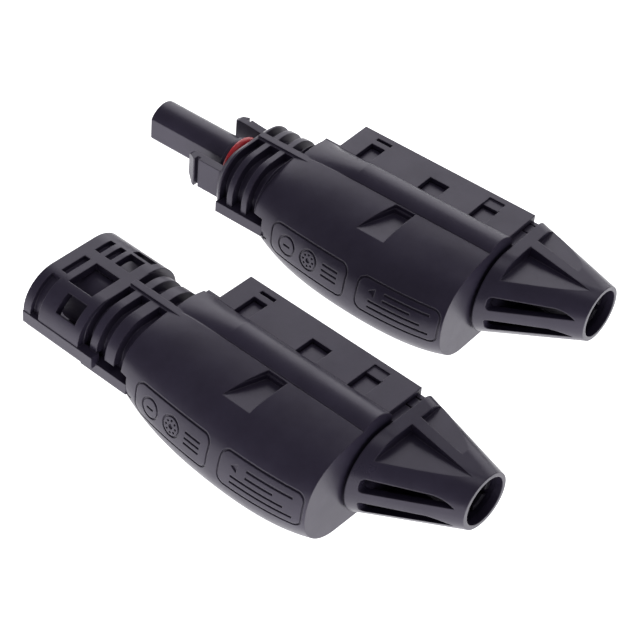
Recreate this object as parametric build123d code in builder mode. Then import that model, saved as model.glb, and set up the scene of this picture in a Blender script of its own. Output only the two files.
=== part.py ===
from build123d import *
import os

os.makedirs("parts", exist_ok=True)

# A mating pair of single-core solar cable connectors, lying side by side.
# Each half has its own axes: x runs towards the cable end, y away from the belly, z up.
# x = 0 is the front face of the side cover, y = 0 the cable's axis, z = 0 the surface it lies on.

# Where the two halves lie
PLUG_AT = (-16.98, 33.88, 0.0)
SOCKET_AT = (-5.85, -14.35, 0.0)
SOCKET_YAW = -3.62

# Cable and contact axes
CABLE_Z = 10.0
CONTACT_Y = -11.8
CONTACT_Z = 11.3

# Body
BODY_END = 39.5
SPLIT_Y = -2.9
LOBE_CREASE_Y = -10.2
LOBE_ROOF_DROP = 2.4
LOBE_TOP_SLOPE = (1.0, 0.08)
# station x, nearest y, underside z, radius of the lower corner, z of the crease
LOBE_STATIONS = (
    (-4.0, -22.4, 3.8, 7.2, 18.8),
    (5.0, -24.0, 0.1, 8.4, 19.6),
    (16.0, -25.1, 0.0, 7.4, 19.7),
    (28.0, -25.2, 0.0, 7.3, 19.7),
    (39.5, -23.4, 0.4, 8.3, 19.7),
)
RIDGE_CREST = (-7.0, 20.9)
COVER_TOP = 18.62
COVER_FAR = 5.66
COVER_END = 38.7
COVER_WALL = 1.2
WINDOWS = ((4.0, 7.1, 2.2), (18.05, 22.45, 1.55), (29.55, 33.2, 2.1))
WINDOW_DEPTH = 1.0
COVER_CHAMBER_X = (2.6, 35.0)
COVER_CHAMBER_Z = (1.6, COVER_TOP - COVER_WALL)
THIN_SLOT_DEPTH = 0.8
WINDOW_STEP_DEPTH = 0.35
THIN_SLOT = ((3.95, 7.3), (3.5, 4.3))
LAST_WINDOW_STEP = ((29.6, 33.0), (2.0, 4.3))
WINDOW_GAP = 0.15
WINDOW_TAB_OVERLAP = 0.5
WINDOW_TAB_THICKNESS = 1.62
COVER_LIP = ((14.4, 27.8), (COVER_FAR - 0.5, COVER_FAR + 0.9), (15.6, 17.0))
PANELS = ((0.9, 19.3), (21.7, 39.0))
PANEL_Z = 10.2
PANEL_HEIGHT = 7.0
PANEL_CORNER = 1.8
FRAME_LINE = 0.35
BADGE_R = 2.1
BADGE_LINE = 0.4
BADGES_X = (5.0, 10.4)
BADGE_BAR_LENGTH = 1.6
SUN_DISC_R = 0.5
SUN_DOTS = 8
SUN_DOTS_R = 1.15
SUN_DOT_R = 0.22
BARS = 3
BARS_X = 15.5
BARS_LENGTH = 3.6
BARS_PITCH = 1.1
ARROW_X = 25.2
ARROW_SIDE = 1.5
MARK_LINE = 0.4
MARK_PITCH = 1.25
MARK_ROWS = ((27.5, 36.8), (27.5, 33.2), (24.6, 35.4), (24.6, 37.2))
SIGN_PLACE = (-1.4, 8.3)
SIGN_BAR = (2.0, 0.5)
RELIEF_PLANE_Y = -28.0
RELIEF_DEPTH = 0.25
RELIEF_REACH = 9.0
NOTCH_X = (18.9, 23.2)
NOTCH_FAR = -10.4
NOTCH_FLOOR = 17.85
NOTCH_STEPS = 2
NOTCH_STEP_RISE = 1.0
NOTCH_STEP_RUN = 0.3
NOTCH_LENGTH = 14.0
NOTCH_FLARE = (4.4, 1.3)
RIDGE_FRONT = -3.0
RIDGE_FULL = 9.0
RIDGE_FRONT_DROP = 1.6
RIDGE_EDGE = (LOBE_CREASE_Y + 0.2, 19.8)
RIDGE_FOOT = COVER_TOP - 2.2

# Clamp chamber, half in the housing and half in the side cover
CHAMBER_X = (6.0, 35.0)
CHAMBER_Z = (2.2, 16.6)
CHAMBER_NEAR = -8.6
CHAMBER_FAR = COVER_FAR - COVER_WALL

# Neck
NECK_FRONT = -14.0
NECK_HALF_WIDTH = 10.6
NECK_HALF_HEIGHT = 7.5
NECK_SLOT_DEPTH = 1.9
NECK_CHAMFER = 1.3
NECK_END = -3.9
NECK_WEB = ((-4.0, 0.0), (SPLIT_Y - 1, SPLIT_Y + 1.6), (4.6, 17.6))
STADIUM_FLAT = 0.6
RAIL_HALF_WIDTH = 11.1
RAIL_END = -1.8
RAIL_Z = (8.0, 10.3)
RAIL_ROOT = 1.0
CHANNEL_HEIGHT = 1.7
TOP_RIB_Y = (0.3, 2.5)
TOP_RIB_LINE_Y = (0.7, 2.1)
TOP_RIB_END = 12.0
TOP_RIB_RISE = 0.35
PLUG_CHANNEL_FRONT = -5.9
PLUG_NECK_SLOTS = ((-12.3, -10.5), (-9.3, -7.1), (-5.9, -4.0))
SOCKET_NECK_SLOTS = ((-12.5, -11.0), (-9.4, -7.4), (-5.2, -3.4))

# Plug nose
PROBE_R = 4.1
PROBE_FLAT = 3.5
PROBE_TIP = -35.3
PROBE_BORE_R = 2.95
PROBE_ROOT_R = 4.95
PROBE_ROOT_FRONT = -15.0
PROBE_COLLAR_X = (-17.5, -16.75)
PROBE_COLLAR_R = 4.6
RING_CORD_R = 0.78
RING_GROOVE_R = 3.7
FINGER_OUTER = 7.9
FINGER_THICKNESS = 1.8
FINGER_HALF_HEIGHT = 3.2
FINGER_HOOK_FRONT = -22.6
FINGER_HOOK_BACK = -20.5
FINGER_GROOVE_BACK = -19.8
FINGER_PEAK = 0.5
FINGER_TRAVEL_GAP = 0.05
FINGER_HOOK_RISE = 0.25
FINGER_GROOVE_DEPTH = 0.75

# Socket shell
SHELL_FRONT = -26.0
SHELL_BACK = -12.6
# half-width, height above the contact axis and depth below it
SHELL_OUTER = (12.0, 7.5, 5.4)
SHELL_CAVITY = (10.3, 6.0, 4.4)
SHELL_RAIL_HALF_WIDTH = 12.15
SHELL_RAIL_Z = (CONTACT_Z - 1.5, CONTACT_Z + 0.9)
SHELL_RAIL_END = -9.0
CORNER_WINDOW_X = -16.6
CORNER_WINDOW_AT = (-9.4, 5.5)
CORNER_WINDOW_TILT = 42
CORNER_WINDOW_SIZE = (4.7, 4.0)
CORNER_WINDOW_DEPTH = 2.4
# blind recesses behind the rim: x range, y range and lower edge z, the last two from the contact axis
RIM_RECESSES = (
    ((-24.3, -22.3), (-13.0, -6.5), 0.9),
    ((-23.6, -22.2), (-5.2, 0.4), 3.0),
    ((-23.5, -22.2), (2.7, 6.6), 3.0),
    ((-21.0, -19.6), (2.7, 6.6), 3.0),
)
RIM_RECESS_FLOOR = (11.0, 6.6, 4.6)
SHELL_CAVITY_BACK = -13.6
# each window: x range, y range and lower edge z, the last two measured from the contact axis
SHELL_WINDOWS = (
    ((-20.7, -15.0), (-6.2, 0.4), 3.0),
    ((-18.5, -15.0), (2.7, 6.6), 3.0),
    ((-18.7, -14.2), (7.3, 8.8), 3.0),
)
SOCKET_BORE_R = 4.8
SLEEVE_R = 5.75
SLEEVE_FRONT = -23.2
SOCKET_BORE_BACK = -3.4

# Contacts
PIN_R = 2.0
PIN_FRONT = -20.5
PIN_TIP_FRONT = -22.0
TUBE_BORE_R = 2.03
TUBE_OUTER_R = 2.85
TUBE_FRONT = -33.8
TUBE_BORE_LENGTH = 16.0
TUBE_GROOVE = (5.5, 9.5)
TUBE_GROOVE_DEPTH = 0.5
PIN_HOLE_R = 0.8
PIN_HOLE_DEPTH = 2.0
CONTACT_TAIL = 2.0
TAIL_POCKET_END = 9.5
TAIL_POCKET_HALF = (1.5, 1.8)

# Conductor clamp
CAGE_X = (13.0, 33.0)
CAGE_Y = (-4.4, 3.9)
CAGE_Z = (3.4, 15.6)
CAGE_WALL = 0.8
BUSBAR_Z = (4.3, 5.5)
BUSBAR_Y = (-3.3, 2.8)
BUSBAR_RISER_X = (8.0, 9.2)
BUSBAR_FOOT_END = 11.5
BUSBAR_END = 31.5
BUSBAR_WALL_GAP = 0.3
BUSBAR_TAIL_HALF = (1.2, 1.5)
SPRING_THICKNESS = 0.5
SPRING_PIVOT = (16.2, 12.8)
SPRING_PIN_R = 0.6
SPRING_PIN_FIT = 0.06
SPRING_SIDE_GAP = 0.3
SPRING_REACH = 6.6

# Cable entry
CABLE_R = 3.0
SEAL_R = 4.7
SEAL_FIT = 0.1
SEAL_GROOVE_DEPTH = 0.5
SEAL_RIB_WIDTH = 1.2
SEAL_RIBS = (0.04, 0.44, 0.84)
SEAL_X = (37.3, 46.0)
BASKET_X = (46.1, 55.6)
BASKET_R = 4.4
BASKET_BORE_R = 3.35
BASKET_SLOTS = 6
BASKET_SLOT_WIDTH = 1.0
BASKET_RING_LENGTH = 2.4

# Rear cap
CAP_RING = 40.2
CAP_EXIT = 57.9
CAP_EXIT_R = 5.4
CAP_EXIT_BORE_R = 4.65
CAP_EXIT_LAND = 1.5
CAP_FAR = 7.4
CAP_NEAR = -14.6
CAP_TOP = 18.0
CAP_BOTTOM = 0.7
CAP_WALL = 1.6
CAP_ROUND = 0.985
CAP_FAR_ROUND = 3.0
CAP_POCKET_FRONT = 42.5
CAP_RIB_Y = ((-1.3, -1.9), (1.0, 0.2))
CAP_POCKET_END = (CAP_EXIT - 1.8, CAP_EXIT - 3.0)
CAP_POCKET_FLOOR = 15.6
CAP_SHOULDER_FLOOR = 16.3
CAP_CAVITY_TOP = 14.9
CAP_SLOTS = ((10.2, 12.9, 10.8, 12.9, 11.4), (4.9, 7.9, 6.2, 8.5, 7.2))
CAP_SLOT_X = (42.0, 52.4, 56.3)
CAP_SLOT_ROUND = 0.8
CAP_SLOT_CUT = 12.2
CUT_HEIGHT = 4.0
CAP_ARM_Y = (2.0, 4.2)
CAP_ARM_Z = (15.7, 17.3)
CAP_ARM_FRONT = 35.6
CAP_ARM_GAP = 0.3

# Spigot that the cap is pushed on to
SPIGOT_X = (38.0, 41.3)
SPIGOT_GAP = 0.6
COVER_STEP = ((38.0, 39.9), (SPLIT_Y, 5.4), (0.9, 17.3))

# Allowances that carry a cut clear of a surface
CLEAR = 1.0
WIDE = 30.0


def across(base, x):
    """Plane square to a half's length at station x: sketch x is the half's y, sketch y is its z."""
    return Plane(origin=base.from_local_coords(Vector(x, 0, 0)), x_dir=base.y_dir, z_dir=base.x_dir)


def level(base, z):
    """Horizontal plane at height z."""
    return Plane(origin=base.from_local_coords(Vector(0, 0, z)), x_dir=base.x_dir, z_dir=base.z_dir)


def upright(base, y):
    """Upright plane along a half's length at y, facing the near side: sketch y is the half's z."""
    return Plane(origin=base.from_local_coords(Vector(0, y, 0)), x_dir=base.x_dir, z_dir=-base.y_dir)


def block(base, x, y, z, mode=Mode.ADD):
    """Straight-sided block between the two values given along each axis."""
    with BuildSketch(level(base, z[0])) as outline:
        with Locations(((x[0] + x[1]) / 2, (y[0] + y[1]) / 2)):
            Rectangle(x[1] - x[0], y[1] - y[0])
    extrude(outline.sketch, amount=z[1] - z[0], mode=mode)


def rod(base, x, radius, centre=(0, CABLE_Z), mode=Mode.ADD):
    """Round bar along the half between two x values."""
    with BuildSketch(across(base, x[0])) as outline:
        with Locations(centre):
            Circle(radius)
    extrude(outline.sketch, amount=x[1] - x[0], mode=mode)


def stadium(base, x, half_width, half_height, mode=Mode.ADD):
    """Bar with a flat top and bottom and rounded sides about the contact axis."""
    with BuildSketch(across(base, x[0])) as outline:
        with Locations((CONTACT_Y, CONTACT_Z)):
            RectangleRounded(2 * half_width, 2 * half_height, half_height - STADIUM_FLAT)
    extrude(outline.sketch, amount=x[1] - x[0], mode=mode)


def lobe_outline(base, x, near, bottom, corner, crease, inset=0.0):
    """Cross-section of the belly at station x, from the split plane round to the crease."""
    side = (near + inset, bottom + corner)
    edge = (LOBE_CREASE_Y, crease - inset)
    with BuildSketch(across(base, x)) as outline:
        with BuildLine():
            Line((SPLIT_Y, bottom + inset), (near + corner, bottom + inset))
            TangentArc((near + corner, bottom + inset), side, tangent=(-1, 0))
            Spline(side, edge, tangents=((0, 1), LOBE_TOP_SLOPE))
            Line(edge, (SPLIT_Y, crease - LOBE_ROOF_DROP))
            Line((SPLIT_Y, crease - LOBE_ROOF_DROP), (SPLIT_Y, bottom + inset))
        make_face()
    return outline.sketch


def lobe_sections(base, inset=0.0):
    """Belly sections from the neck to the flat rear face."""
    return [lobe_outline(base, *station, inset) for station in LOBE_STATIONS]


def make_flank_relief(base, sign_bars):
    """Shallow engraving on the belly's flank: two framed panels of plain marks, and a polarity sign."""
    with BuildPart() as relief:
        with BuildSketch(upright(base, RELIEF_PLANE_Y)) as marks:
            for left, right in PANELS:
                with Locations(((left + right) / 2, PANEL_Z)):
                    RectangleRounded(right - left, PANEL_HEIGHT, PANEL_CORNER)
                    RectangleRounded(
                        right - left - 2 * FRAME_LINE,
                        PANEL_HEIGHT - 2 * FRAME_LINE,
                        PANEL_CORNER - FRAME_LINE,
                        mode=Mode.SUBTRACT,
                    )
            for badge_x in BADGES_X:
                with Locations((badge_x, PANEL_Z)):
                    Circle(BADGE_R)
                    Circle(BADGE_R - BADGE_LINE, mode=Mode.SUBTRACT)
            with Locations((BADGES_X[0], PANEL_Z)):
                Rectangle(BADGE_BAR_LENGTH, BADGE_LINE)
            with Locations((BADGES_X[1], PANEL_Z)):
                Circle(SUN_DISC_R)
                with PolarLocations(SUN_DOTS_R, SUN_DOTS):
                    Circle(SUN_DOT_R)
            with Locations((BARS_X, PANEL_Z)):
                with GridLocations(0, BARS_PITCH, 1, BARS):
                    Rectangle(BARS_LENGTH, MARK_LINE)
            for row, (start, end) in enumerate(MARK_ROWS):
                with Locations(((start + end) / 2, PANEL_Z + (1.5 - row) * MARK_PITCH)):
                    Rectangle(end - start, MARK_LINE)
            with Locations((ARROW_X, PANEL_Z + MARK_PITCH)):
                Triangle(a=ARROW_SIDE, b=ARROW_SIDE, c=ARROW_SIDE, rotation=90)
            with Locations(SIGN_PLACE):
                for turn in sign_bars:
                    Rectangle(*SIGN_BAR, rotation=turn)
        extrude(marks.sketch, amount=-RELIEF_REACH)
        loft(sections=lobe_sections(base, inset=RELIEF_DEPTH), mode=Mode.SUBTRACT)
    return relief


def add_body(base, relief):
    """Belly, ridge and rear wall, with the half of the clamp chamber that lies in the housing."""
    loft(sections=lobe_sections(base))
    add(relief.part, mode=Mode.SUBTRACT)
    add(make_spigot(base, -1).part)
    block(base, (NECK_FRONT, BODY_END + CLEAR), (-WIDE, SPLIT_Y), (-CLEAR, 0), mode=Mode.SUBTRACT)
    add_ridge(base)
    block(base, CHAMBER_X, (CHAMBER_NEAR, SPLIT_Y), CHAMBER_Z, mode=Mode.SUBTRACT)
    rod(base, (CHAMBER_X[1] - CLEAR, BODY_END + CLEAR), SEAL_R + SEAL_FIT, mode=Mode.SUBTRACT)
    cut_tool_notch(base)
    for start, end, far in WINDOWS:
        tab_x = (start + WINDOW_GAP, end - WINDOW_GAP)
        tab_y = (SPLIT_Y - WINDOW_TAB_OVERLAP, far - WINDOW_GAP)
        tab_top = COVER_TOP - WINDOW_DEPTH
        block(base, tab_x, tab_y, (tab_top - WINDOW_TAB_THICKNESS, tab_top))


def make_spigot(base, side):
    """The half of the rear spigot, on the housing (-1) or the cover (+1), that the cap is pushed on to."""
    with BuildPart() as spigot:
        outline = cap_outline(base, SPIGOT_X[0], CAP_WALL + SPIGOT_GAP, 0, CAP_CAVITY_TOP - SPIGOT_GAP)
        extrude(outline, amount=SPIGOT_X[1] - SPIGOT_X[0])
        if side > 0:
            block(base, *COVER_STEP)
        split = (SPLIT_Y, SPLIT_Y - side * WIDE)
        length = (SPIGOT_X[0] - CLEAR, SPIGOT_X[1] + CLEAR)
        block(base, length, (min(split), max(split)), (-CLEAR, WIDE), Mode.SUBTRACT)
        rod(base, (SPIGOT_X[0] - CLEAR, SPIGOT_X[1] + CLEAR), SEAL_R + SEAL_FIT, mode=Mode.SUBTRACT)
    return spigot


def cut_tool_notch(base):
    """Flared notch in the belly's top for a release tool, with small steps at its far end."""
    for step in range(NOTCH_STEPS):
        floor = NOTCH_FLOOR + NOTCH_STEP_RISE * step
        far = NOTCH_FAR - NOTCH_STEP_RUN * (NOTCH_STEPS - 1 - step)
        with BuildSketch(level(base, floor)) as notch:
            with BuildLine():
                Polyline(
                    (NOTCH_X[0], far),
                    (NOTCH_X[1], far),
                    (NOTCH_X[1] - NOTCH_FLARE[1], NOTCH_FAR - NOTCH_LENGTH),
                    (NOTCH_X[0] - NOTCH_FLARE[0], NOTCH_FAR - NOTCH_LENGTH),
                    close=True,
                )
            make_face()
        extrude(notch.sketch, amount=CUT_HEIGHT, mode=Mode.SUBTRACT)


def ridge_outline(base, x, drop):
    """Cross-section of the spine at station x, its crest lowered by drop."""
    edge = (RIDGE_EDGE[0], RIDGE_EDGE[1] - drop / 2)
    crest = (RIDGE_CREST[0], RIDGE_CREST[1] - drop)
    with BuildSketch(across(base, x)) as outline:
        with BuildLine():
            Line((SPLIT_Y, RIDGE_FOOT), (edge[0], RIDGE_FOOT))
            Line((edge[0], RIDGE_FOOT), edge)
            ThreePointArc(edge, crest, (SPLIT_Y, COVER_TOP))
            Line((SPLIT_Y, COVER_TOP), (SPLIT_Y, RIDGE_FOOT))
        make_face()
    return outline.sketch


def add_ridge(base):
    """Round-topped spine along the top, rising from the neck to stand a little proud of the belly."""
    loft(sections=[ridge_outline(base, RIDGE_FRONT, RIDGE_FRONT_DROP), ridge_outline(base, RIDGE_FULL, 0)])
    extrude(ridge_outline(base, RIDGE_FULL, 0), amount=BODY_END - RIDGE_FULL)


def add_neck(base, slots, channel_front):
    """Ribbed neck about the contact axis, with a guard rail along each side."""
    stadium(base, (NECK_FRONT + NECK_CHAMFER, NECK_END), NECK_HALF_WIDTH, NECK_HALF_HEIGHT)
    front = neck_outline(base, NECK_FRONT, NECK_CHAMFER)
    loft(sections=[front, neck_outline(base, NECK_FRONT + NECK_CHAMFER, 0)])
    block(base, *NECK_WEB)
    for start, end in slots:
        cut_neck_slot(base, start, end)
    for side in (-1, 1):
        inner = CONTACT_Y + side * (NECK_HALF_WIDTH - NECK_SLOT_DEPTH - RAIL_ROOT)
        outer = CONTACT_Y + side * RAIL_HALF_WIDTH
        block(base, (NECK_FRONT + NECK_CHAMFER, RAIL_END), (min(inner, outer), max(inner, outer)), RAIL_Z)
    inner = CONTACT_Y - NECK_HALF_WIDTH + NECK_SLOT_DEPTH
    channel_z = (RAIL_Z[1], RAIL_Z[1] + CHANNEL_HEIGHT)
    block(base, (channel_front, RAIL_END), (inner - WIDE, inner), channel_z, mode=Mode.SUBTRACT)
    rib_y = (CONTACT_Y + TOP_RIB_LINE_Y[0], CONTACT_Y + TOP_RIB_LINE_Y[1])
    rib_z = (CONTACT_Z, CONTACT_Z + NECK_HALF_HEIGHT + TOP_RIB_RISE)
    block(base, (NECK_FRONT + NECK_CHAMFER, TOP_RIB_END), rib_y, rib_z)


def neck_outline(base, x, inset):
    """Cross-section of the neck at station x, shrunk by inset."""
    half_height = NECK_HALF_HEIGHT - inset
    with BuildSketch(across(base, x)) as outline:
        with Locations((CONTACT_Y, CONTACT_Z)):
            RectangleRounded(2 * (NECK_HALF_WIDTH - inset), 2 * half_height, half_height - STADIUM_FLAT)
    return outline.sketch


def cut_neck_slot(base, start, end):
    """Groove round the neck, left whole at the top rib, under the rails and along the bottom."""
    rib = (CONTACT_Y + TOP_RIB_Y[0], CONTACT_Y + TOP_RIB_Y[1])
    with BuildSketch(across(base, start)) as groove:
        with Locations((CONTACT_Y, CONTACT_Z)):
            Rectangle(WIDE, WIDE)
            RectangleRounded(
                2 * (NECK_HALF_WIDTH - NECK_SLOT_DEPTH),
                2 * (NECK_HALF_HEIGHT - NECK_SLOT_DEPTH),
                NECK_HALF_HEIGHT - NECK_SLOT_DEPTH - STADIUM_FLAT,
                mode=Mode.SUBTRACT,
            )
        with Locations((CONTACT_Y, (RAIL_Z[0] + RAIL_Z[1]) / 2)):
            Rectangle(WIDE, RAIL_Z[1] - RAIL_Z[0], mode=Mode.SUBTRACT)
        with Locations(((rib[0] + rib[1]) / 2, CONTACT_Z)):
            Rectangle(rib[1] - rib[0], WIDE, mode=Mode.SUBTRACT)
    extrude(groove.sketch, amount=end - start, mode=Mode.SUBTRACT)


def make_side_cover(base):
    """Clip-on cover over the far side of the clamp chamber."""
    with BuildPart() as cover:
        block(base, (0, COVER_END), (SPLIT_Y, COVER_FAR), (0, COVER_TOP))
        add(make_spigot(base, 1).part)
        block(base, COVER_CHAMBER_X, (SPLIT_Y - CLEAR, CHAMBER_FAR), COVER_CHAMBER_Z, mode=Mode.SUBTRACT)
        rod(base, (CHAMBER_X[1] - CLEAR, COVER_END + CLEAR), SEAL_R + SEAL_FIT, mode=Mode.SUBTRACT)
        for start, end, far in WINDOWS:
            depth = (COVER_CHAMBER_Z[1] - CLEAR, COVER_TOP + CLEAR)
            block(base, (start, end), (SPLIT_Y - CLEAR, far), depth, mode=Mode.SUBTRACT)
        block(base, *THIN_SLOT, (COVER_TOP - THIN_SLOT_DEPTH, COVER_TOP + CLEAR), mode=Mode.SUBTRACT)
        block(base, *LAST_WINDOW_STEP, (COVER_TOP - WINDOW_STEP_DEPTH, COVER_TOP + CLEAR), mode=Mode.SUBTRACT)
        arm_y = (CAP_ARM_Y[0] - CAP_ARM_GAP, CAP_ARM_Y[1] + CAP_ARM_GAP)
        arm_z = (CAP_ARM_Z[0] - CAP_ARM_GAP, CAP_ARM_Z[1] + CAP_ARM_GAP)
        block(base, (CAP_ARM_FRONT - CLEAR, SPIGOT_X[1] + CLEAR), arm_y, arm_z, mode=Mode.SUBTRACT)
        block(base, *COVER_LIP)
    return cover


def make_clamp_cage(base):
    """Square steel cage that the conductor is clamped in."""
    with BuildPart() as cage:
        block(base, CAGE_X, CAGE_Y, CAGE_Z)
        inside_y = (CAGE_Y[0] + CAGE_WALL, CAGE_Y[1] - CAGE_WALL)
        inside_z = (CAGE_Z[0] + CAGE_WALL, CAGE_Z[1] - CAGE_WALL)
        block(base, (CAGE_X[0] - CLEAR, CAGE_X[1] + CLEAR), inside_y, inside_z, mode=Mode.SUBTRACT)
        with BuildSketch(upright(base, CAGE_Y[1])) as pin:
            with Locations(SPRING_PIVOT):
                Circle(SPRING_PIN_R)
        extrude(pin.sketch, amount=CAGE_Y[1] - CAGE_Y[0])
    return cage


def make_busbar(base):
    """Flat copper bar from the contact's tail to the floor of the clamp cage."""
    with BuildPart() as busbar:
        riser, tail_y, tail_z = BUSBAR_RISER_X, BUSBAR_TAIL_HALF[0], BUSBAR_TAIL_HALF[1]
        tail_height = (CONTACT_Z - tail_z, CONTACT_Z + tail_z)
        chamber_y = (CHAMBER_NEAR + BUSBAR_WALL_GAP, BUSBAR_Y[1])
        block(base, (riser[0], BUSBAR_END), BUSBAR_Y, BUSBAR_Z)
        block(base, (riser[0], BUSBAR_FOOT_END), chamber_y, BUSBAR_Z)
        block(base, riser, chamber_y, (BUSBAR_Z[0], tail_height[1]))
        block(base, (CONTACT_TAIL + 0.02, riser[1]), (CONTACT_Y - tail_y, CONTACT_Y + tail_y), tail_height)
        block(base, riser, (CONTACT_Y - tail_y, CHAMBER_NEAR + CLEAR), tail_height)
    return busbar


def make_clamp_spring(base):
    """Leaf spring, rolled round the cage's cross pin, that presses the conductor on to the busbar."""
    leaf_root = (SPRING_PIVOT[0] + 0.5, SPRING_PIVOT[1] - 0.75)
    leaf_end = (SPRING_PIVOT[0] + SPRING_REACH, BUSBAR_Z[1] + 0.7)
    side = CAGE_WALL + SPRING_SIDE_GAP
    eye_r = SPRING_PIN_R + SPRING_PIN_FIT
    with BuildPart() as spring:
        with BuildSketch(upright(base, CAGE_Y[1] - side)) as leaf:
            with BuildLine():
                Polyline(leaf_root, leaf_end, (leaf_end[0] + 1.1, leaf_end[1] + 0.5))
            trace(line_width=SPRING_THICKNESS)
            with Locations(SPRING_PIVOT):
                Circle(eye_r + SPRING_THICKNESS)
                Circle(eye_r, mode=Mode.SUBTRACT)
        extrude(leaf.sketch, amount=CAGE_Y[1] - CAGE_Y[0] - 2 * side)
    return spring


def make_cable_seal(base):
    """Ribbed rubber sleeve round the cable, just behind the clamp."""
    with BuildPart() as seal:
        rod(base, SEAL_X, SEAL_R - SEAL_GROOVE_DEPTH)
        for fraction in SEAL_RIBS:
            start = SEAL_X[0] + fraction * (SEAL_X[1] - SEAL_X[0])
            rod(base, (start, start + SEAL_RIB_WIDTH), SEAL_R)
        rod(base, (SEAL_X[0] - CLEAR, SEAL_X[1] + CLEAR), CABLE_R, mode=Mode.SUBTRACT)
    return seal


def make_basket(base):
    """Ring of springy fingers that grips the cable jacket."""
    with BuildPart() as basket:
        rod(base, BASKET_X, BASKET_R)
        rod(base, (BASKET_X[0] - CLEAR, BASKET_X[1] + CLEAR), BASKET_BORE_R, mode=Mode.SUBTRACT)
        with BuildSketch(across(base, BASKET_X[0] + BASKET_RING_LENGTH)) as slots:
            with Locations((0, CABLE_Z)):
                with PolarLocations(BASKET_R, BASKET_SLOTS, start_angle=90):
                    Rectangle(2 * (BASKET_R - BASKET_BORE_R) + 0.3, BASKET_SLOT_WIDTH)
        extrude(slots.sketch, amount=BASKET_X[1], mode=Mode.SUBTRACT)
    return basket


def cap_outline(base, x, inset, blend, roof=CAP_TOP):
    """Cross-section of the cap at station x; blend runs from 0 at the flat-topped ring to 1 at the exit."""
    radius = CAP_EXIT_R - inset
    near = CAP_NEAR + inset + blend * (-radius - CAP_NEAR - inset)
    far = CAP_FAR - inset + blend * (radius - CAP_FAR + inset)
    roof = min(roof, CAP_TOP - inset)
    top = roof + blend * (CABLE_Z + radius - roof)
    bottom = CAP_BOTTOM + inset + blend * (CABLE_Z - radius - CAP_BOTTOM - inset)
    near_round = (top - bottom) / 2 - 0.02
    far_round = CAP_FAR_ROUND + blend * (near_round - CAP_FAR_ROUND)
    with BuildSketch(across(base, x)) as outline:
        with BuildLine():
            Line((far, bottom + far_round), (far, top - far_round))
            TangentArc((far, top - far_round), (far - far_round, top), tangent=(0, 1))
            Line((far - far_round, top), (near + near_round, top))
            TangentArc((near + near_round, top), (near, top - near_round), tangent=(-1, 0))
            Line((near, top - near_round), (near, bottom + near_round))
            TangentArc((near, bottom + near_round), (near + near_round, bottom), tangent=(0, -1))
            Line((near + near_round, bottom), (far - far_round, bottom))
            TangentArc((far - far_round, bottom), (far, bottom + far_round), tangent=(1, 0))
        make_face()
    return outline.sketch


def make_rear_cap(base):
    """Push-on rear cap: flat-topped ring at the body, tapering aslant to the round cable exit."""
    with BuildPart() as cap:
        ring = cap_outline(base, CAP_RING, 0, 0)
        loft(sections=[ring, cap_outline(base, CAP_EXIT, 0, CAP_ROUND)], ruled=True)
        loft(
            sections=[
                cap_outline(base, CAP_RING, CAP_WALL, 0, CAP_CAVITY_TOP),
                cap_outline(base, CAP_EXIT - CAP_EXIT_LAND, CAP_EXIT_R - CAP_EXIT_BORE_R, CAP_ROUND),
            ],
            ruled=True,
            mode=Mode.SUBTRACT,
        )
        rod(base, (CAP_EXIT - CAP_EXIT_LAND - CLEAR, CAP_EXIT + CLEAR), CAP_EXIT_BORE_R, mode=Mode.SUBTRACT)
        cut_cap_pockets(base)
        for slot_outline in CAP_SLOTS:
            cut_cap_slot(base, *slot_outline)
        block(base, (CAP_ARM_FRONT, CAP_POCKET_FRONT), CAP_ARM_Y, CAP_ARM_Z)
    return cap


def cut_cap_slot(base, lower, upper, mid_lower, mid_upper, tip):
    """Slot through the cap's near wall, square at the ring and swept to a point near the exit."""
    start, middle, end = CAP_SLOT_X
    shoulder = (middle + 0.68 * (end - middle), mid_upper - 0.7)
    with BuildSketch(upright(base, CAP_NEAR - CLEAR)) as slot:
        with BuildLine():
            Polyline((middle, mid_upper), (start, upper), (start, lower), (end, tip))
            ThreePointArc((end, tip), shoulder, (middle, mid_upper))
        make_face()
        fillet(slot.vertices().group_by(Axis.X, tol_digits=0)[0], CAP_SLOT_ROUND)
    extrude(slot.sketch, amount=-CAP_SLOT_CUT, mode=Mode.SUBTRACT)


def cut_cap_pockets(base):
    """Grip pockets in the cap's flat top and far shoulder, either side of a rib."""
    floors = (CAP_POCKET_FLOOR, CAP_SHOULDER_FLOOR)
    pockets = zip(floors, CAP_RIB_Y, CAP_POCKET_END, (CAP_NEAR, CAP_FAR + CLEAR))
    for floor, (rib_front, rib_back), end, outside in pockets:
        with BuildSketch(level(base, floor)) as pocket:
            with BuildLine():
                Polyline(
                    (CAP_POCKET_FRONT, outside),
                    (CAP_POCKET_FRONT, rib_front),
                    (end, rib_back),
                    (end, outside),
                    close=True,
                )
            make_face()
        extrude(pocket.sketch, amount=CUT_HEIGHT, mode=Mode.SUBTRACT)


def cut_tail_pocket(base):
    """Room inside the housing for the bar that joins the contact to the clamp chamber."""
    half_y, half_z = TAIL_POCKET_HALF
    height = (CONTACT_Z - half_z, CONTACT_Z + half_z)
    width = (CONTACT_Y - half_y, CONTACT_Y + half_y)
    block(base, (CONTACT_TAIL, TAIL_POCKET_END), width, height, Mode.SUBTRACT)
    side_x = (BUSBAR_RISER_X[0] - BUSBAR_WALL_GAP, TAIL_POCKET_END)
    block(base, side_x, (CONTACT_Y, CHAMBER_NEAR), height, Mode.SUBTRACT)


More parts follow.
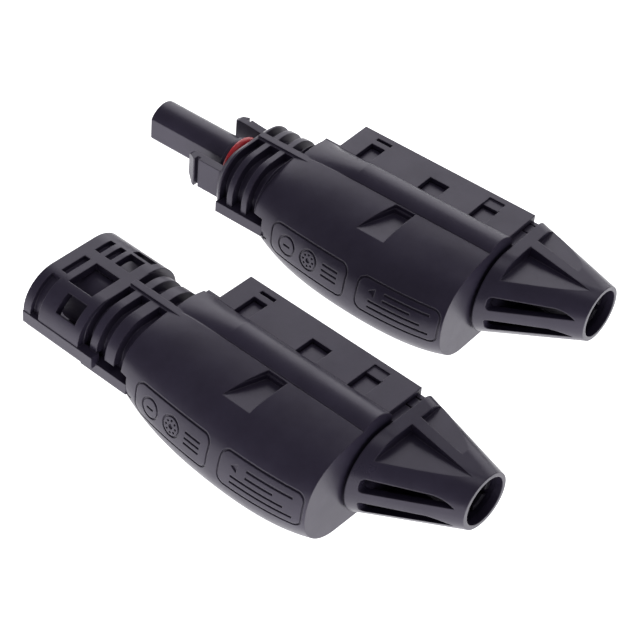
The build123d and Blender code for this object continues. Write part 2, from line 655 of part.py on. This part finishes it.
def make_plug_housing(base):
    """Plug half's moulding: body, neck, and the probe with its collar."""
    relief = make_flank_relief(base, sign_bars=(0, 90))
    with BuildPart() as housing:
        add_body(base, relief)
        add_neck(base, PLUG_NECK_SLOTS, PLUG_CHANNEL_FRONT)
        contact = (CONTACT_Y, CONTACT_Z)
        rod(base, (PROBE_ROOT_FRONT, NECK_FRONT), PROBE_ROOT_R, contact)
        with BuildSketch(across(base, PROBE_TIP)) as probe:
            with Locations(contact):
                Circle(PROBE_R)
                Rectangle(2 * PROBE_FLAT, 4 * PROBE_R, mode=Mode.INTERSECT)
        extrude(probe.sketch, amount=PROBE_COLLAR_X[1] - PROBE_TIP)
        rod(base, PROBE_COLLAR_X, PROBE_COLLAR_R, contact)
        rod(base, (PROBE_COLLAR_X[1], PROBE_ROOT_FRONT), RING_GROOVE_R, contact)
        rod(base, (PROBE_TIP - CLEAR, CONTACT_TAIL), PROBE_BORE_R, contact, mode=Mode.SUBTRACT)
        cut_tail_pocket(base)
    return housing


def make_latch_finger(base, side):
    """Springy finger with a hook, on the near (-1) or far (+1) side of the probe."""
    outer = FINGER_OUTER
    inner = FINGER_OUTER - FINGER_THICKNESS
    root_r = FINGER_THICKNESS / 2
    root = NECK_FRONT - root_r - FINGER_TRAVEL_GAP
    with BuildPart() as finger:
        with BuildSketch(level(base, CONTACT_Z - FINGER_HALF_HEIGHT)) as outline:
            with BuildLine():
                Polyline(
                    (root, CONTACT_Y + side * (inner + 0.01)),
                    (FINGER_HOOK_FRONT + 0.4, CONTACT_Y + side * inner),
                    (FINGER_HOOK_FRONT, CONTACT_Y + side * (inner + 0.5)),
                    (FINGER_HOOK_FRONT, CONTACT_Y + side * (outer - 0.7)),
                    (FINGER_HOOK_BACK - 0.3, CONTACT_Y + side * (outer + FINGER_HOOK_RISE)),
                    (FINGER_HOOK_BACK, CONTACT_Y + side * (outer + FINGER_HOOK_RISE)),
                    (FINGER_HOOK_BACK, CONTACT_Y + side * (outer - FINGER_GROOVE_DEPTH)),
                    (FINGER_GROOVE_BACK, CONTACT_Y + side * (outer - FINGER_GROOVE_DEPTH)),
                    (FINGER_GROOVE_BACK, CONTACT_Y + side * outer),
                    (root, CONTACT_Y + side * (outer - 0.01)),
                    close=True,
                )
            make_face()
            with Locations((root, CONTACT_Y + side * (inner + root_r))):
                Circle(root_r)
        extrude(outline.sketch, amount=2 * FINGER_HALF_HEIGHT + FINGER_PEAK)
        low = CONTACT_Z - FINGER_HALF_HEIGHT
        high = CONTACT_Z + FINGER_HALF_HEIGHT
        peak = high + (FINGER_PEAK if side > 0 else 0.0)
        with BuildSketch(upright(base, CONTACT_Y - WIDE)) as profile:
            with BuildLine():
                Polyline(
                    (NECK_FRONT, low),
                    (FINGER_HOOK_FRONT + 1.3, low),
                    (FINGER_HOOK_FRONT, low + 1.5),
                    (FINGER_HOOK_FRONT, peak - 0.5),
                    (FINGER_HOOK_FRONT + 0.8, peak),
                    (FINGER_GROOVE_BACK, peak),
                    (NECK_FRONT, high),
                    close=True,
                )
            make_face()
        extrude(profile.sketch, amount=-2 * WIDE, mode=Mode.INTERSECT)
    return finger


def make_seal_ring(base):
    """Rubber sealing ring in the groove at the root of the probe."""
    middle = base.from_local_coords(Vector((PROBE_COLLAR_X[1] + PROBE_ROOT_FRONT) / 2, CONTACT_Y, CONTACT_Z))
    with BuildPart() as ring:
        with BuildSketch(Plane(origin=middle, x_dir=base.y_dir, z_dir=base.z_dir)) as cord:
            with Locations((RING_GROOVE_R + RING_CORD_R + 0.02, 0)):
                Circle(RING_CORD_R)
        revolve(cord.sketch, axis=Axis(origin=middle, direction=base.x_dir))
    return ring


def make_tube_contact(base):
    """Metal socket contact inside the plug's probe."""
    contact = (CONTACT_Y, CONTACT_Z)
    with BuildPart() as tube:
        rod(base, (TUBE_FRONT, CONTACT_TAIL), TUBE_OUTER_R, contact)
        bore = (TUBE_FRONT - CLEAR, TUBE_FRONT + TUBE_BORE_LENGTH)
        rod(base, bore, TUBE_BORE_R, contact, mode=Mode.SUBTRACT)
        groove = (TUBE_FRONT + TUBE_GROOVE[0], TUBE_FRONT + TUBE_GROOVE[1])
        rod(base, groove, TUBE_BORE_R + TUBE_GROOVE_DEPTH, contact, mode=Mode.SUBTRACT)
    return tube


def make_contact_band(base):
    """Spring band in a groove of the socket contact."""
    contact = (CONTACT_Y, CONTACT_Z)
    with BuildPart() as band:
        start, end = TUBE_FRONT + TUBE_GROOVE[0] + 0.1, TUBE_FRONT + TUBE_GROOVE[1] - 0.1
        rod(base, (start, end), TUBE_BORE_R + TUBE_GROOVE_DEPTH - 0.02, contact)
        rod(base, (start - CLEAR, end + CLEAR), TUBE_BORE_R + 0.05, contact, mode=Mode.SUBTRACT)
    return band


def shell_bar(base, x, half_width, top, bottom, mode=Mode.ADD):
    """Bar with rounded corners about the contact axis, reaching further above it than below."""
    with BuildSketch(across(base, x[0])) as outline:
        with Locations((CONTACT_Y, CONTACT_Z)):
            RectangleRounded(2 * half_width, 2 * top, top - STADIUM_FLAT)
        with Locations((CONTACT_Y, CONTACT_Z - top)):
            Rectangle(2 * half_width, 2 * top, mode=Mode.SUBTRACT)
        with Locations((CONTACT_Y, CONTACT_Z)):
            RectangleRounded(2 * half_width, 2 * bottom, bottom - 0.05)
    extrude(outline.sketch, amount=x[1] - x[0], mode=mode)


def make_socket_housing(base):
    """Socket half's moulding: body, neck, and the windowed shell round an inner sleeve."""
    relief = make_flank_relief(base, sign_bars=(0,))
    with BuildPart() as rim_recess:
        for recess_x, recess_y, low in RIM_RECESSES:
            side = (CONTACT_Y + recess_y[0], CONTACT_Y + recess_y[1])
            block(base, recess_x, side, (CONTACT_Z + low, CONTACT_Z + SHELL_OUTER[1] + CLEAR))
        shell_bar(base, (SHELL_FRONT, SHELL_BACK), *RIM_RECESS_FLOOR, mode=Mode.SUBTRACT)
    with BuildPart() as housing:
        add_body(base, relief)
        add_neck(base, SOCKET_NECK_SLOTS, NECK_FRONT)
        shell_bar(base, (SHELL_FRONT, SHELL_BACK), *SHELL_OUTER)
        for side in (-1, 1):
            wall = (CONTACT_Y + side * SHELL_CAVITY[0], CONTACT_Y + side * SHELL_RAIL_HALF_WIDTH)
            block(base, (SHELL_FRONT, SHELL_RAIL_END), (min(wall), max(wall)), SHELL_RAIL_Z)
        mouth = (SHELL_FRONT - CLEAR, SHELL_CAVITY_BACK)
        shell_bar(base, mouth, *SHELL_CAVITY, mode=Mode.SUBTRACT)
        contact = (CONTACT_Y, CONTACT_Z)
        cut_shell_windows(base)
        add(rim_recess.part, mode=Mode.SUBTRACT)
        rod(base, (SLEEVE_FRONT, SHELL_CAVITY_BACK), SLEEVE_R, contact)
        rod(base, (SLEEVE_FRONT - CLEAR, SOCKET_BORE_BACK), SOCKET_BORE_R, contact, mode=Mode.SUBTRACT)
        rod(base, (SOCKET_BORE_BACK - CLEAR, CONTACT_TAIL), TUBE_OUTER_R + 0.05, contact, mode=Mode.SUBTRACT)
        cut_tail_pocket(base)
    return housing


def cut_shell_windows(base):
    """Latch windows and relief slots through the shell's wall."""
    across, up = CORNER_WINDOW_AT
    centre = base.from_local_coords(Vector(CORNER_WINDOW_X, CONTACT_Y + across, CONTACT_Z + up))
    outward = base.z_dir.rotate(Axis(base.origin, base.x_dir), CORNER_WINDOW_TILT)
    with BuildSketch(Plane(origin=centre, x_dir=base.x_dir, z_dir=outward)) as corner_window:
        Rectangle(*CORNER_WINDOW_SIZE)
    extrude(corner_window.sketch, amount=CORNER_WINDOW_DEPTH, both=True, mode=Mode.SUBTRACT)
    for window_x, window_y, low in SHELL_WINDOWS:
        side = (CONTACT_Y + window_y[0], CONTACT_Y + window_y[1])
        height = (CONTACT_Z + low, CONTACT_Z + SHELL_OUTER[1] + CLEAR)
        block(base, window_x, side, height, mode=Mode.SUBTRACT)


def make_pin_contact(base):
    """Metal pin contact with a solid tail."""
    contact = (CONTACT_Y, CONTACT_Z)
    with BuildPart() as pin:
        rod(base, (PIN_FRONT, SOCKET_BORE_BACK), PIN_R, contact)
        rod(base, (SOCKET_BORE_BACK, CONTACT_TAIL), TUBE_OUTER_R, contact)
        rod(base, (PIN_FRONT - CLEAR, PIN_FRONT + PIN_HOLE_DEPTH), PIN_HOLE_R, contact, mode=Mode.SUBTRACT)
    return pin


def make_pin_tip(base):
    """Insulating cap on the pin's end, so that a finger can't touch the metal."""
    contact = (CONTACT_Y, CONTACT_Z)
    with BuildPart() as tip:
        rod(base, (PIN_FRONT, PIN_FRONT + PIN_HOLE_DEPTH - 0.1), PIN_HOLE_R - 0.02, contact)
        with BuildSketch(across(base, PIN_FRONT)) as root:
            with Locations(contact):
                Circle(PIN_R - 0.05)
        with BuildSketch(across(base, PIN_TIP_FRONT)) as nose:
            with Locations(contact):
                Circle(PIN_R - 0.7)
        loft(sections=[nose.sketch, root.sketch])
    return tip


def save(made, name):
    made.part.label = name
    export_step(made.part, f"parts/{name}.step")


plug_base = Plane(origin=PLUG_AT)
socket_base = Plane(origin=SOCKET_AT).rotated((0, 0, SOCKET_YAW))

for half, base in (("plug", plug_base), ("socket", socket_base)):
    save(make_side_cover(base), f"{half}_side_cover")
    save(make_clamp_cage(base), f"{half}_clamp_cage")
    save(make_busbar(base), f"{half}_busbar")
    save(make_clamp_spring(base), f"{half}_clamp_spring")
    save(make_cable_seal(base), f"{half}_cable_seal")
    save(make_basket(base), f"{half}_strain_basket")
    save(make_rear_cap(base), f"{half}_rear_cap")

save(make_plug_housing(plug_base), "plug_housing")
save(make_latch_finger(plug_base, -1), "plug_latch_near")
save(make_latch_finger(plug_base, 1), "plug_latch_far")
save(make_seal_ring(plug_base), "plug_seal_ring")
save(make_tube_contact(plug_base), "plug_contact")
save(make_contact_band(plug_base), "plug_contact_band")

save(make_socket_housing(socket_base), "socket_housing")
save(make_pin_contact(socket_base), "socket_contact")
save(make_pin_tip(socket_base), "socket_pin_tip")
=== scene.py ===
import bmesh
import bpy
from math import cos, radians, sin
from mathutils import Matrix, Vector

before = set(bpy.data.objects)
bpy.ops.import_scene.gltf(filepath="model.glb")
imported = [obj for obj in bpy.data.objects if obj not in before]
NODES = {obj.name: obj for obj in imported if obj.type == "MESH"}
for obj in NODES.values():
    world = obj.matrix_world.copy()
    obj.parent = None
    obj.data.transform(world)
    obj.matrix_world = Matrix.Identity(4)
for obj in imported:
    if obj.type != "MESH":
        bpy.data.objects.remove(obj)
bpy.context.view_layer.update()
MM = 0.001

SENSOR_WIDTH = 36.0
CLIP_START = 0.01

EDGE_RADIUS = 0.28 * MM
RUBBER_EDGE_RADIUS = 0.1 * MM
METAL_EDGE_RADIUS = 0.06 * MM
EDGE_SAMPLES = 4
EDGE_TURN = 0.8  # cosine between the rounded and the true normal at which an edge gets the full paler edge colour (rubbed wear and painted highlight)
# Paler colour on rounded edges: partly rubbed wear, partly a painted highlight along the edges.
EDGE_WEAR_AND_HIGHLIGHT = 0.45
WORN_AND_HIGHLIGHT_COLOR = (0.105, 0.098, 0.122, 1.0)
PLASTIC_TINT = (0.92, 0.87, 1.0, 1.0)
WHITE = (1.0, 1.0, 1.0, 1.0)
MOTTLE_SCALE = 160.0
SMUDGE_SCALE = 90.0
GRAIN_SCALE = 5200.0
GRAIN_HEIGHT = 0.02 * MM
WAVINESS_SCALE = 320.0
WAVINESS_HEIGHT = 0.15 * MM
DRAWN_LINE_SCALE = 2600.0
DRAWN_LINE_HEIGHT = 0.01 * MM
ALONG_PART = (0.06, 1.0, 1.0)

FLOOR_HALF_SIZE = 1.2
FLOOR_GLOW = 1.45


# ---------------------------------------------------------------- camera
def add_camera(azimuth, elevation, roll, distance, target, lens):
    """Camera that looks at target from an azimuth (0 looks along +Y) and elevation, rolled about its axis."""
    camera = bpy.data.objects.new("camera", bpy.data.cameras.new("camera"))
    bpy.context.scene.collection.objects.link(camera)
    sight = Vector((-sin(azimuth) * cos(elevation), cos(azimuth) * cos(elevation), -sin(elevation)))
    turn = sight.to_track_quat("-Z", "Y").to_matrix() @ Matrix.Rotation(roll, 3, "Z")
    camera.matrix_world = Matrix.Translation(target - distance * sight) @ turn.to_4x4()
    camera.data.lens = lens
    camera.data.sensor_width = SENSOR_WIDTH
    camera.data.clip_start = CLIP_START
    bpy.context.scene.camera = camera


add_camera(
    azimuth=radians(34.44),
    elevation=radians(41.78),
    roll=radians(5.47),
    distance=391.7 * MM,
    target=Vector((5.2, -2.0, 10.5)) * MM,
    lens=125.45,
)


# ---------------------------------------------------------------- materials
def new_material(name):
    material = bpy.data.materials.new(name)
    material.use_nodes = True
    nodes = material.node_tree.nodes
    nodes.clear()
    output = nodes.new("ShaderNodeOutputMaterial")
    shader = nodes.new("ShaderNodeBsdfPrincipled")
    material.node_tree.links.new(shader.outputs["BSDF"], output.inputs["Surface"])
    return material, shader


def noise(tree, scale, detail=3.0, rough=0.5):
    coords = tree.nodes.new("ShaderNodeTexCoord")
    tex = tree.nodes.new("ShaderNodeTexNoise")
    tex.inputs["Scale"].default_value = scale
    tex.inputs["Detail"].default_value = detail
    tex.inputs["Roughness"].default_value = rough
    tree.links.new(coords.outputs["Object"], tex.inputs["Vector"])
    return tex.outputs["Fac"]


def remap(tree, value, low, high, out_low, out_high):
    node = tree.nodes.new("ShaderNodeMapRange")
    node.inputs["From Min"].default_value = low
    node.inputs["From Max"].default_value = high
    node.inputs["To Min"].default_value = out_low
    node.inputs["To Max"].default_value = out_high
    tree.links.new(value, node.inputs["Value"])
    return node.outputs["Result"]


def mix_color(tree, fac, a, b):
    node = tree.nodes.new("ShaderNodeMix")
    node.data_type = "RGBA"
    node.inputs["A"].default_value = (*a, 1.0)
    node.inputs["B"].default_value = (*b, 1.0)
    tree.links.new(fac, node.inputs["Factor"])
    return node.outputs["Result"]


def rounded_normal(tree, radius):
    """Normal that rounds sharp edges over by radius, and a mask of how much it was turned there."""
    bevel = tree.nodes.new("ShaderNodeBevel")
    bevel.samples = EDGE_SAMPLES
    bevel.inputs["Radius"].default_value = radius
    geometry = tree.nodes.new("ShaderNodeNewGeometry")
    dot = tree.nodes.new("ShaderNodeVectorMath")
    dot.operation = "DOT_PRODUCT"
    tree.links.new(bevel.outputs["Normal"], dot.inputs[0])
    tree.links.new(geometry.outputs["Normal"], dot.inputs[1])
    return bevel.outputs["Normal"], remap(tree, dot.outputs["Value"], 1.0, EDGE_TURN, 0.0, 1.0)


def bump(tree, height, strength, distance, normal):
    node = tree.nodes.new("ShaderNodeBump")
    node.inputs["Strength"].default_value = strength
    node.inputs["Distance"].default_value = distance
    tree.links.new(height, node.inputs["Height"])
    tree.links.new(normal, node.inputs["Normal"])
    return node.outputs["Normal"]


def moulded_plastic(name, dark, light, roughness, grain):
    """Satin moulded plastic: mottled colour, fine spark-eroded grain, rounded edges painted a little paler
    (partly rubbed wear, partly a painted highlight).
    """
    material, shader = new_material(name)
    tree = material.node_tree
    normal, edge = rounded_normal(tree, EDGE_RADIUS)
    cloud = noise(tree, MOTTLE_SCALE, 4.0, 0.6)
    body = mix_color(tree, remap(tree, cloud, 0.35, 0.65, 0.0, 1.0), dark, light)
    # Mix the paler edge colour in along rounded edges: partly rubbed wear, partly a painted highlight.
    worn_and_highlight = tree.nodes.new("ShaderNodeMix")
    worn_and_highlight.data_type = "RGBA"
    worn_and_highlight.inputs["B"].default_value = WORN_AND_HIGHLIGHT_COLOR
    tree.links.new(body, worn_and_highlight.inputs["A"])
    tree.links.new(remap(tree, edge, 0.0, 1.0, 0.0, EDGE_WEAR_AND_HIGHLIGHT), worn_and_highlight.inputs["Factor"])
    tree.links.new(worn_and_highlight.outputs["Result"], shader.inputs["Base Color"])
    smudge = noise(tree, SMUDGE_SCALE, 5.0, 0.65)
    gloss = remap(tree, smudge, 0.3, 0.7, roughness - 0.05, roughness + 0.07)
    tree.links.new(gloss, shader.inputs["Roughness"])
    normal = bump(tree, noise(tree, GRAIN_SCALE, 2.0, 0.6), grain, GRAIN_HEIGHT, normal)
    normal = bump(tree, noise(tree, WAVINESS_SCALE, 2.0, 0.5), 0.05, WAVINESS_HEIGHT, normal)
    tree.links.new(normal, shader.inputs["Normal"])
    shader.inputs["Specular Tint"].default_value = PLASTIC_TINT
    return material


def rubber(name, dark, light, roughness):
    """Soft moulded rubber with faint mottling and a fine matt grain."""
    material, shader = new_material(name)
    tree = material.node_tree
    normal, _ = rounded_normal(tree, RUBBER_EDGE_RADIUS)
    tree.links.new(mix_color(tree, noise(tree, 400.0), dark, light), shader.inputs["Base Color"])
    gloss = remap(tree, noise(tree, 700.0), 0.3, 0.7, roughness - 0.08, roughness + 0.08)
    tree.links.new(gloss, shader.inputs["Roughness"])
    tree.links.new(bump(tree, noise(tree, 3000.0), 0.25, GRAIN_HEIGHT, normal), shader.inputs["Normal"])
    return material


def metal(name, dark, light, roughness):
    """Stamped or drawn metal with fine drawing lines along the part."""
    material, shader = new_material(name)
    tree = material.node_tree
    normal, _ = rounded_normal(tree, METAL_EDGE_RADIUS)
    coords = tree.nodes.new("ShaderNodeTexCoord")
    stretch = tree.nodes.new("ShaderNodeMapping")
    stretch.inputs["Scale"].default_value = ALONG_PART
    lines = tree.nodes.new("ShaderNodeTexNoise")
    lines.inputs["Scale"].default_value = DRAWN_LINE_SCALE
    lines.inputs["Detail"].default_value = 3.0
    tree.links.new(coords.outputs["Object"], stretch.inputs["Vector"])
    tree.links.new(stretch.outputs["Vector"], lines.inputs["Vector"])
    tree.links.new(mix_color(tree, noise(tree, 300.0), dark, light), shader.inputs["Base Color"])
    gloss = remap(tree, lines.outputs["Fac"], 0.3, 0.7, roughness - 0.08, roughness + 0.1)
    tree.links.new(gloss, shader.inputs["Roughness"])
    tree.links.new(bump(tree, lines.outputs["Fac"], 0.15, DRAWN_LINE_HEIGHT, normal), shader.inputs["Normal"])
    shader.inputs["Metallic"].default_value = 1.0
    return material


# Kind of finish, darker and lighter colour of its mottling, roughness, and the plastics' grain strength.
FINISHES = {
    "housing_plastic": (moulded_plastic, (0.027, 0.0222, 0.040), (0.036, 0.0305, 0.052), 0.33, 0.16),
    "cover_plastic": (moulded_plastic, (0.028, 0.0235, 0.041), (0.037, 0.0315, 0.053), 0.38, 0.20),
    "cap_plastic": (moulded_plastic, (0.024, 0.0200, 0.036), (0.032, 0.0272, 0.047), 0.31, 0.14),
    "basket_plastic": (moulded_plastic, (0.009, 0.0085, 0.011), (0.014, 0.0135, 0.017), 0.5, 0.3),
    "spring_steel": (metal, (0.55, 0.55, 0.56), (0.68, 0.68, 0.69), 0.32),
    "tinned_copper": (metal, (0.70, 0.69, 0.66), (0.82, 0.81, 0.78), 0.26),
    "seal_rubber": (rubber, (0.012, 0.012, 0.013), (0.022, 0.022, 0.023), 0.62),
    "ring_rubber": (rubber, (0.50, 0.012, 0.018), (0.68, 0.022, 0.03), 0.34),
}
MATERIALS = {name: build(name, *finish) for name, (build, *finish) in FINISHES.items()}

for node in NODES.values():
    for slot in node.material_slots:
        slot.material = MATERIALS[slot.material.name.split(".")[0]]


# ---------------------------------------------------------------- studio
def add_floor():
    """Pale matt table top, which glows a little so that it stays white and lights the flanks from below."""
    mesh = bmesh.new()
    bmesh.ops.create_grid(mesh, x_segments=1, y_segments=1, size=FLOOR_HALF_SIZE)
    data = bpy.data.meshes.new("table_top")
    mesh.to_mesh(data)
    mesh.free()
    floor = bpy.data.objects.new("table_top", data)
    bpy.context.scene.collection.objects.link(floor)
    material, shader = new_material("table_top")
    tree = material.node_tree
    tone = mix_color(tree, noise(tree, 8.0), (0.62, 0.62, 0.625), (0.66, 0.66, 0.665))
    tree.links.new(tone, shader.inputs["Base Color"])
    shader.inputs["Roughness"].default_value = 0.6
    shader.inputs["Emission Color"].default_value = WHITE
    shader.inputs["Emission Strength"].default_value = FLOOR_GLOW
    data.materials.append(material)


def add_softbox(name, place, target, size, power):
    light = bpy.data.lights.new(name, "AREA")
    light.shape = "RECTANGLE"
    light.size, light.size_y = size
    light.energy = power
    lamp = bpy.data.objects.new(name, light)
    bpy.context.scene.collection.objects.link(lamp)
    lamp.location = place
    lamp.rotation_euler = (target - lamp.location).to_track_quat("-Z", "Y").to_euler()


def add_world(color, strength):
    world = bpy.data.worlds.new("studio")
    world.use_nodes = True
    background = world.node_tree.nodes["Background"]
    background.inputs["Color"].default_value = color
    background.inputs["Strength"].default_value = strength
    bpy.context.scene.world = world


CENTRE = Vector((0.0, 0.0, 0.01))
add_floor()
add_softbox("softbox_back", Vector((-0.34, 0.62, 0.40)), CENTRE, (1.0, 0.62), 3.1)
add_softbox("softbox_top", Vector((0.05, 0.15, 0.95)), CENTRE, (0.5, 0.5), 0.8)
add_world((0.90, 0.86, 1.0, 1.0), 0.26)
bpy.context.scene.view_settings.view_transform = "Standard"
